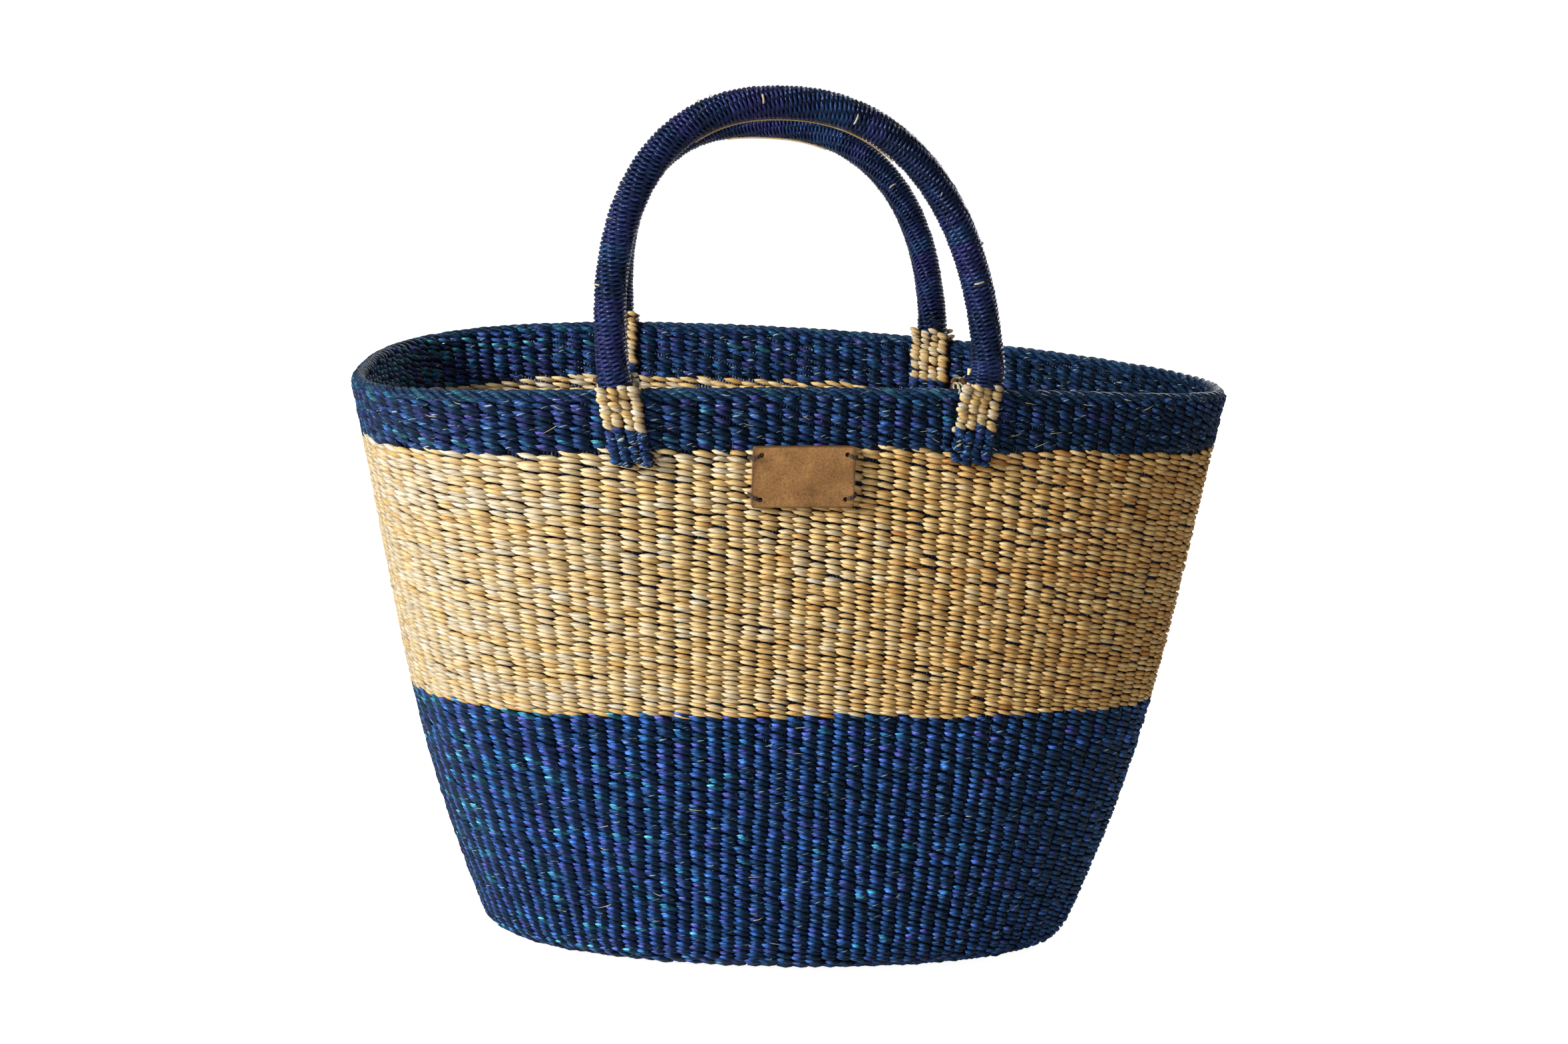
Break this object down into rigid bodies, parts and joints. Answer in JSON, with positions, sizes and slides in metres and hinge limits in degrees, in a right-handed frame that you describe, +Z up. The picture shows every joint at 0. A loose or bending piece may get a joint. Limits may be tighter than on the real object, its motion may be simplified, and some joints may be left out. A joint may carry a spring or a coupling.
{
  "type": "basket bag",
  "caption": "Twined straw carrying basket with an oval base, a flared three-band wall, a plaited rim, a leather patch and two wrapped handles that swing at the rim.",
  "frame": {"origin": "middle of the flat base, on the surface that the basket stands on", "axes": "+Z up through the mouth, +X to the right when the front with the leather patch is seen, and the front faces -Y"},
  "size_m": [0.4992, 0.3487, 0.5074],
  "materials": {
    "straw_navy": "dyed twisted straw, matt with a low sheen",
    "straw_natural": "undyed twisted straw, matt with a low sheen",
    "straw_stakes": "dyed straw bundles, matt",
    "leather": "thick tan leather, satin",
    "thread": "waxed dark cord"
  },
  "bodies": {
    "basket": {"base_outer_weft": "straw_navy", "base_inner_weft": "straw_navy", "lower_outer_weft": "straw_navy", "lower_inner_weft": "straw_navy", "middle_outer_weft": "straw_natural", "middle_inner_weft": "straw_natural", "upper_outer_weft": "straw_navy", "upper_inner_weft": "straw_navy", "stake_frame": "straw_stakes", "rim_border": "straw_navy", "front_left_root": "straw_natural", "front_left_outer_tab_natural": "straw_natural", "front_left_outer_tab_navy": "straw_navy", "front_left_inner_tab_natural": "straw_natural", "front_left_inner_tab_navy": "straw_navy", "front_left_upper_lacing": "straw_natural", "front_left_lower_lacing": "straw_natural", "front_right_root": "straw_natural", "front_right_outer_tab_natural": "straw_natural", "front_right_outer_tab_navy": "straw_navy", "front_right_inner_tab_natural": "straw_natural", "front_right_inner_tab_navy": "straw_navy", "front_right_upper_lacing": "straw_natural", "front_right_lower_lacing": "straw_natural", "back_left_root": "straw_natural", "back_left_outer_tab_natural": "straw_natural", "back_left_outer_tab_navy": "straw_navy", "back_left_inner_tab_natural": "straw_natural", "back_left_inner_tab_navy": "straw_navy", "back_left_upper_lacing": "straw_natural", "back_left_lower_lacing": "straw_natural", "back_right_root": "straw_natural", "back_right_outer_tab_natural": "straw_natural", "back_right_outer_tab_navy": "straw_navy", "back_right_inner_tab_natural": "straw_natural", "back_right_inner_tab_navy": "straw_navy", "back_right_upper_lacing": "straw_natural", "back_right_lower_lacing": "straw_natural", "leather_patch": "leather", "patch_tie_bottom_left": "thread", "patch_tie_top_left": "thread", "patch_tie_bottom_right": "thread", "patch_tie_top_right": "thread"},
    "front_handle": {"front_handle_core": "straw_natural", "front_handle_wrap": "straw_navy"},
    "back_handle": {"back_handle_core": "straw_natural", "back_handle_wrap": "straw_navy"}
  },
  "joints": [
    {"name": "front_handle_swing", "type": "hinge", "parent": "basket", "child": "front_handle", "pos_m": [0.00079, -0.12673, 0.35844], "axis": [0.9805, 0.1964, -0.0032], "range_deg": [-51, 57], "stiffness_Nm_per_rad": 2.5},
    {"name": "back_handle_swing", "type": "hinge", "parent": "basket", "child": "back_handle", "pos_m": [-0.00814, 0.12831, 0.35847], "axis": [-0.9824, 0.1866, 0.0003], "range_deg": [-70, 38], "stiffness_Nm_per_rad": 2.5}
  ]
}
